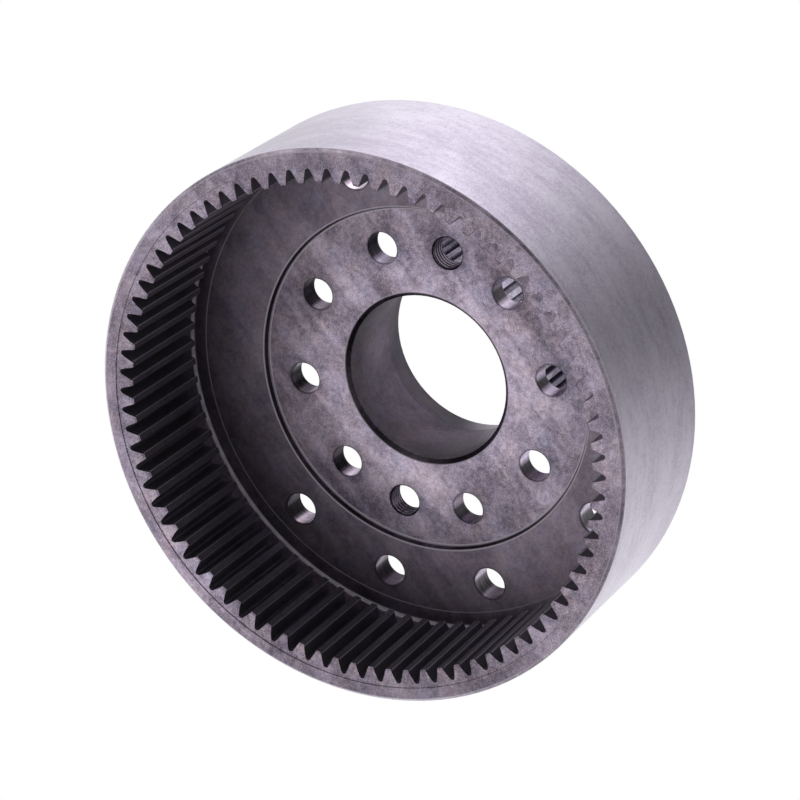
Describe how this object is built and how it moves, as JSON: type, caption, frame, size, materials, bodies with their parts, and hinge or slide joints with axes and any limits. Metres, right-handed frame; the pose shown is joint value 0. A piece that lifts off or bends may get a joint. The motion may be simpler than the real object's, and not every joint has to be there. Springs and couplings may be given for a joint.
{
  "type": "crown gear",
  "caption": "One-piece crown gear: a deep rim with straight internal teeth, a drilled web closing its back, and a bored hub with splines on its outside.",
  "frame": {"origin": "on the gear's axis, in the plane of the hub's rear end face", "axes": "+Z along the axis towards the open toothed mouth, +X through the two threaded jacking holes"},
  "size_m": [0.31, 0.31, 0.15],
  "materials": {
    "gear_steel": "machined bare steel with a thin oil film and stains"
  },
  "bodies": {
    "root": {"crown_gear": "gear_steel"}
  },
  "joints": []
}
